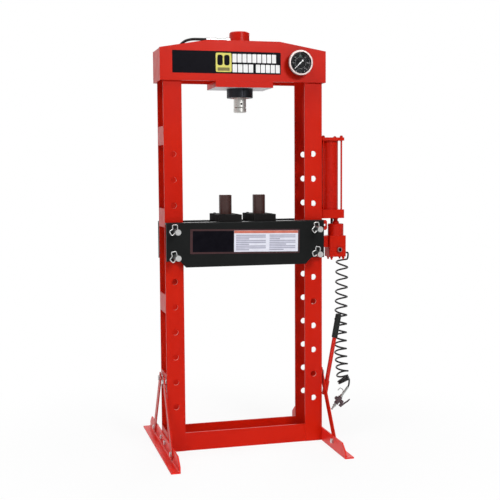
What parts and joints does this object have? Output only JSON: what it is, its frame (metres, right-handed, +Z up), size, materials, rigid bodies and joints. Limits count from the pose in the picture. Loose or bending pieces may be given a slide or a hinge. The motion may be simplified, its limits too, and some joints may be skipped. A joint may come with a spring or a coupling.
{
  "type": "hydraulic shop press",
  "caption": "Floor-standing H-frame hydraulic press with a pinned adjustable bed, head gauge and side-mounted air-over-oil pump on a curly hose.",
  "frame": {"origin": "on the floor, under the ram's axis, midway between the columns", "axes": "+X to the right seen from the front, +Y to the rear, +Z up"},
  "size_m": [0.9171, 0.756, 1.833],
  "materials": {
    "red_paint": "gloss enamel",
    "black_paint": "satin enamel",
    "chromed_steel": "hard chromed",
    "zinc_steel": "zinc plated",
    "blackened_steel": "blackened",
    "machined_steel": "machined",
    "gland_bronze": "machined",
    "gauge_case_steel": "satin",
    "gauge_bezel_steel": "polished",
    "dial_face": "printed",
    "clear_glass": "clear",
    "needle_paint": "matt",
    "brass_fitting": "turned",
    "hose_rubber": "matt",
    "air_hose_plastic": "semi-gloss",
    "grip_rubber": "matt ribbed",
    "gun_casting": "satin"
  },
  "bodies": {
    "root": {"column_left_front": "red_paint", "column_left_rear": "red_paint", "column_left_straps": "red_paint", "column_right_front": "red_paint", "column_right_rear": "red_paint", "column_right_straps": "red_paint", "base_front_beam": "red_paint", "base_rear_beam": "red_paint", "foot_left": "red_paint", "foot_right": "red_paint", "braces_left": "red_paint", "braces_right": "red_paint", "frame_bolts": "zinc_steel", "head_front_plate": "red_paint", "head_rear_plate": "red_paint", "head_end_plates": "red_paint", "cylinder_mount_plate": "red_paint", "ram_cylinder": "red_paint", "ram_lock_ring": "blackened_steel", "ram_gland": "gland_bronze", "gauge_case": "gauge_case_steel", "gauge_dial": "dial_face", "gauge_glass": "clear_glass", "gauge_bezel": "gauge_bezel_steel", "gauge_stem": "brass_fitting", "gauge_tube": "machined_steel", "bed_front_beam": "black_paint", "bed_rear_beam": "black_paint", "bed_cross_plates": "black_paint", "bed_pins": "zinc_steel", "bed_pin_clips": "zinc_steel", "support_block_left": "black_paint", "support_block_right": "black_paint", "support_post_left": "black_paint", "support_post_right": "black_paint", "pump_bracket": "red_paint", "pump_tank_tube": "red_paint", "pump_tank_base": "red_paint", "pump_tank_cap": "red_paint", "pump_fasteners": "red_paint", "pump_neck": "red_paint", "pump_body": "red_paint", "pump_valve_block": "red_paint", "hose_fittings": "zinc_steel", "hydraulic_hose": "hose_rubber", "hose_clips": "zinc_steel", "air_hose": "air_hose_plastic", "air_gun_body": "gun_casting", "air_gun_tube": "chromed_steel", "air_inlet_nipple": "zinc_steel", "pump_handle": "red_paint", "handle_grip": "grip_rubber", "handle_holder": "red_paint"},
    "ram": {"ram_rod": "chromed_steel", "ram_piston": "machined_steel", "ram_saddle": "chromed_steel", "saddle_screw": "blackened_steel"},
    "needle": {"gauge_needle": "needle_paint"},
    "release_screw": {"release_valve": "zinc_steel"},
    "gun_lever": {"air_gun_lever": "gun_casting"}
  },
  "joints": [
    {"name": "ram_slide", "type": "slide", "parent": "root", "child": "ram", "axis": [0, 0, -1], "range_m": [0, 0.15], "stiffness_N_per_m": 1500, "springref_m": -0.1},
    {"name": "gauge_needle_turn", "type": "hinge", "parent": "root", "child": "needle", "pos_m": [0.242, -0.12, 1.694], "axis": [0, 1, 0], "range_deg": [0, 270], "stiffness_Nm_per_rad": 0.004, "springref_deg": -17.19},
    {"name": "release_valve_turn", "type": "hinge", "parent": "root", "child": "release_screw", "pos_m": [0.4475, -0.05, 0.869], "axis": [0, 1, 0], "range_deg": [0, 180]},
    {"name": "gun_lever_press", "type": "hinge", "parent": "root", "child": "gun_lever", "pos_m": [0.47494, -0.008, 0.13873], "axis": [0, -1, 0], "range_deg": [0, 12], "stiffness_Nm_per_rad": 0.2, "springref_deg": -17.19}
  ]
}
